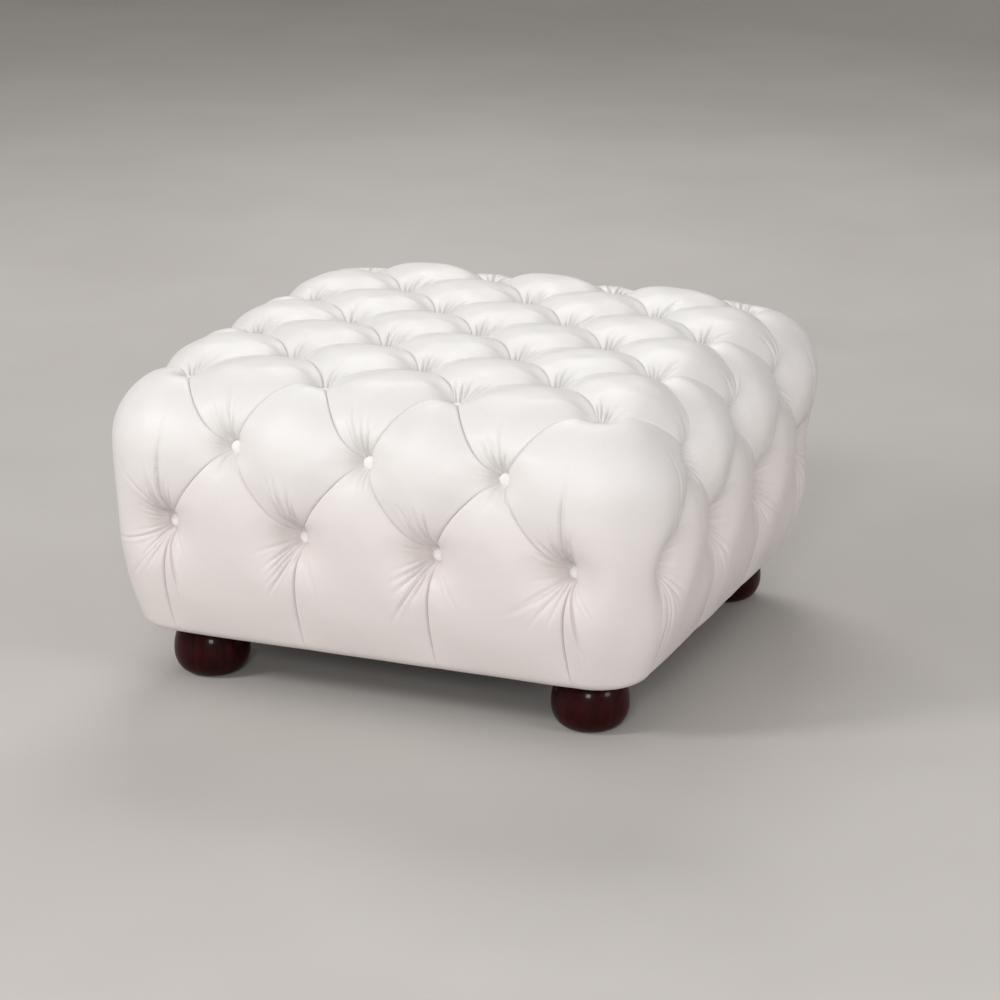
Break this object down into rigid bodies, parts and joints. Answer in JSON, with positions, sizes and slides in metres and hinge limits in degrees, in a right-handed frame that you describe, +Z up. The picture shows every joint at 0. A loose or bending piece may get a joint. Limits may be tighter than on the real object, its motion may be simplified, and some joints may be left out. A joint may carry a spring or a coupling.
{
  "type": "ottoman coffee table",
  "caption": "Square deep-buttoned white leather ottoman on turned dark mahogany bun feet, with its foam, frame, buttons and twines as separate pieces",
  "frame": {"origin": "on the floor, below the middle of the block", "axes": "+Z up; the four side faces look along +X, -X, +Y and -Y; the pictured corner is between -Y and +X"},
  "size_m": [0.7574, 0.7574, 0.4258],
  "materials": {
    "white_leather": "soft semi-gloss with a fine grain",
    "button_leather": "soft semi-gloss, stretched smooth",
    "dark_mahogany": "high-gloss lacquer",
    "foam": "open-cell foam",
    "plywood": "bare",
    "frame_timber": "sawn, bare",
    "twine": "waxed",
    "zinc_steel": "zinc plated",
    "black_cloth": "thin spun-bonded cloth"
  },
  "bodies": {
    "root": {"buttons_back": "button_leather", "buttons_front": "button_leather", "buttons_left": "button_leather", "buttons_right": "button_leather", "deck_board": "plywood", "deck_brace_left": "frame_timber", "deck_brace_right": "frame_timber", "dust_cover": "black_cloth", "foam_back": "foam", "foam_front": "foam", "foam_left": "foam", "foam_right": "foam", "foam_top": "foam", "foot_back_left": "dark_mahogany", "foot_back_right": "dark_mahogany", "foot_block_back_left": "frame_timber", "foot_block_back_right": "frame_timber", "foot_block_front_left": "frame_timber", "foot_block_front_right": "frame_timber", "foot_front_left": "dark_mahogany", "foot_front_right": "dark_mahogany", "hanger_bolts": "zinc_steel", "lower_rail_back": "frame_timber", "lower_rail_front": "frame_timber", "lower_rail_left": "frame_timber", "lower_rail_right": "frame_timber", "panel_back": "plywood", "panel_front": "plywood", "panel_left": "plywood", "panel_right": "plywood", "post_back_left": "frame_timber", "post_back_right": "frame_timber", "post_front_left": "frame_timber", "post_front_right": "frame_timber", "t_nuts": "zinc_steel", "top_buttons": "button_leather", "top_twines": "twine", "tufted_cover": "white_leather", "twines_back": "twine", "twines_front": "twine", "twines_left": "twine", "twines_right": "twine", "upper_rail_back": "frame_timber", "upper_rail_front": "frame_timber", "upper_rail_left": "frame_timber", "upper_rail_right": "frame_timber"}
  },
  "joints": []
}
